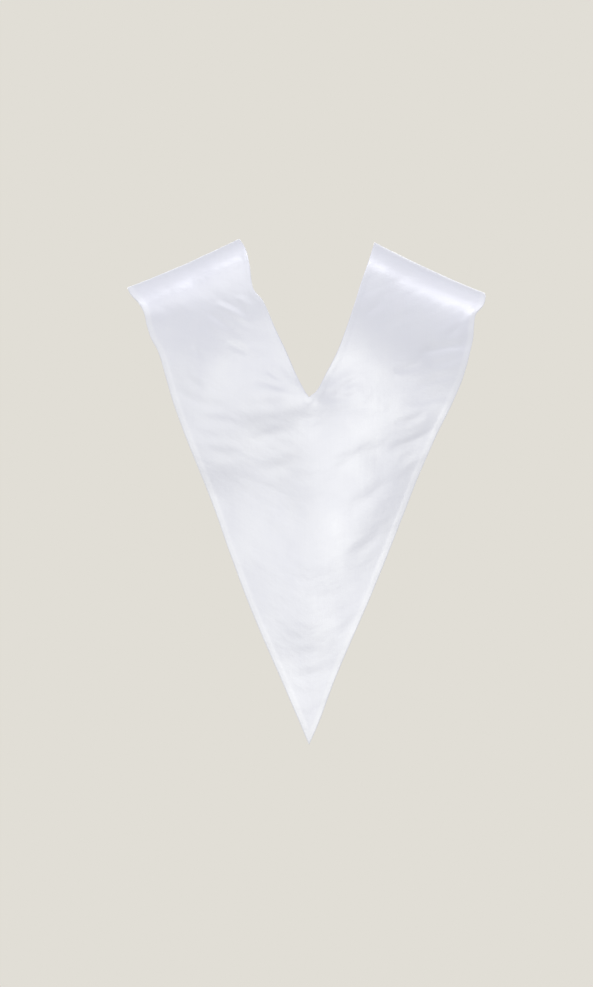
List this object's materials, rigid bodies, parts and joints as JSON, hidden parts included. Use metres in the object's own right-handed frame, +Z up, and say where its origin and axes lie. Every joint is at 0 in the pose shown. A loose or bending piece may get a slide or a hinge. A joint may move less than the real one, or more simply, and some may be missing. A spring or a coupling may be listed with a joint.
{
  "type": "clerical stole",
  "caption": "White satin clerical stole as worn over the shoulders: V-necked back and front panels, each ending in a point, joined along the shoulders.",
  "frame": {"origin": "midway between the two neck points, in the plane of the shoulder seams, where the stole rests on the wearer's shoulders", "axes": "+Z up, +X to the wearer's left, the front facing -Y"},
  "size_m": [0.4596, 0.2589, 0.6401],
  "materials": {
    "white_satin": "satin"
  },
  "bodies": {
    "root": {"back_panel": "white_satin", "front_panel": "white_satin"}
  },
  "joints": []
}
